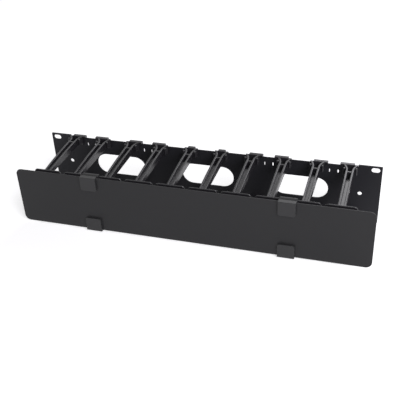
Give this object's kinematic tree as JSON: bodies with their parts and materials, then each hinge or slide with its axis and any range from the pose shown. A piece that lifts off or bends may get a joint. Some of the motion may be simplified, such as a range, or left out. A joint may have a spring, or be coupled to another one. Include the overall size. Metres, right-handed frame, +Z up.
{
  "type": "horizontal cable manager",
  "caption": "Rack panel with rows of plastic fingers that form a cable channel, closed by a hinged flat front cover.",
  "frame": {"origin": "centre of the panel's back face, which meets the rack rails, at the middle of the four rail slots", "axes": "+X along the panel to the right seen from the front, +Y to the back of the rack, +Z up"},
  "size_m": [0.487, 0.1127, 0.0888],
  "materials": {
    "panel_paint": "matte black powder coat",
    "cover_paint": "matte black powder coat",
    "finger_plastic": "satin moulded black plastic",
    "clip_plastic": "satin moulded black plastic"
  },
  "bodies": {
    "root": {"rear_panel": "panel_paint", "finger_top_01": "finger_plastic", "finger_bottom_01": "finger_plastic", "finger_top_02": "finger_plastic", "finger_bottom_02": "finger_plastic", "finger_top_03": "finger_plastic", "finger_bottom_03": "finger_plastic", "finger_top_04": "finger_plastic", "finger_bottom_04": "finger_plastic", "finger_top_05": "finger_plastic", "finger_bottom_05": "finger_plastic", "finger_top_06": "finger_plastic", "finger_bottom_06": "finger_plastic", "finger_top_07": "finger_plastic", "finger_bottom_07": "finger_plastic", "finger_top_08": "finger_plastic", "finger_bottom_08": "finger_plastic", "finger_top_09": "finger_plastic", "finger_bottom_09": "finger_plastic", "finger_top_10": "finger_plastic", "finger_bottom_10": "finger_plastic"},
    "cover": {"front_cover": "cover_paint", "clip_top_left": "clip_plastic", "clip_top_right": "clip_plastic", "clip_bottom_left": "clip_plastic", "clip_bottom_right": "clip_plastic"}
  },
  "joints": [
    {"name": "cover_hinge", "type": "hinge", "parent": "root", "child": "cover", "pos_m": [0, -0.09675, 0.03845], "axis": [-1, 0, 0], "range_deg": [0, 100]}
  ]
}
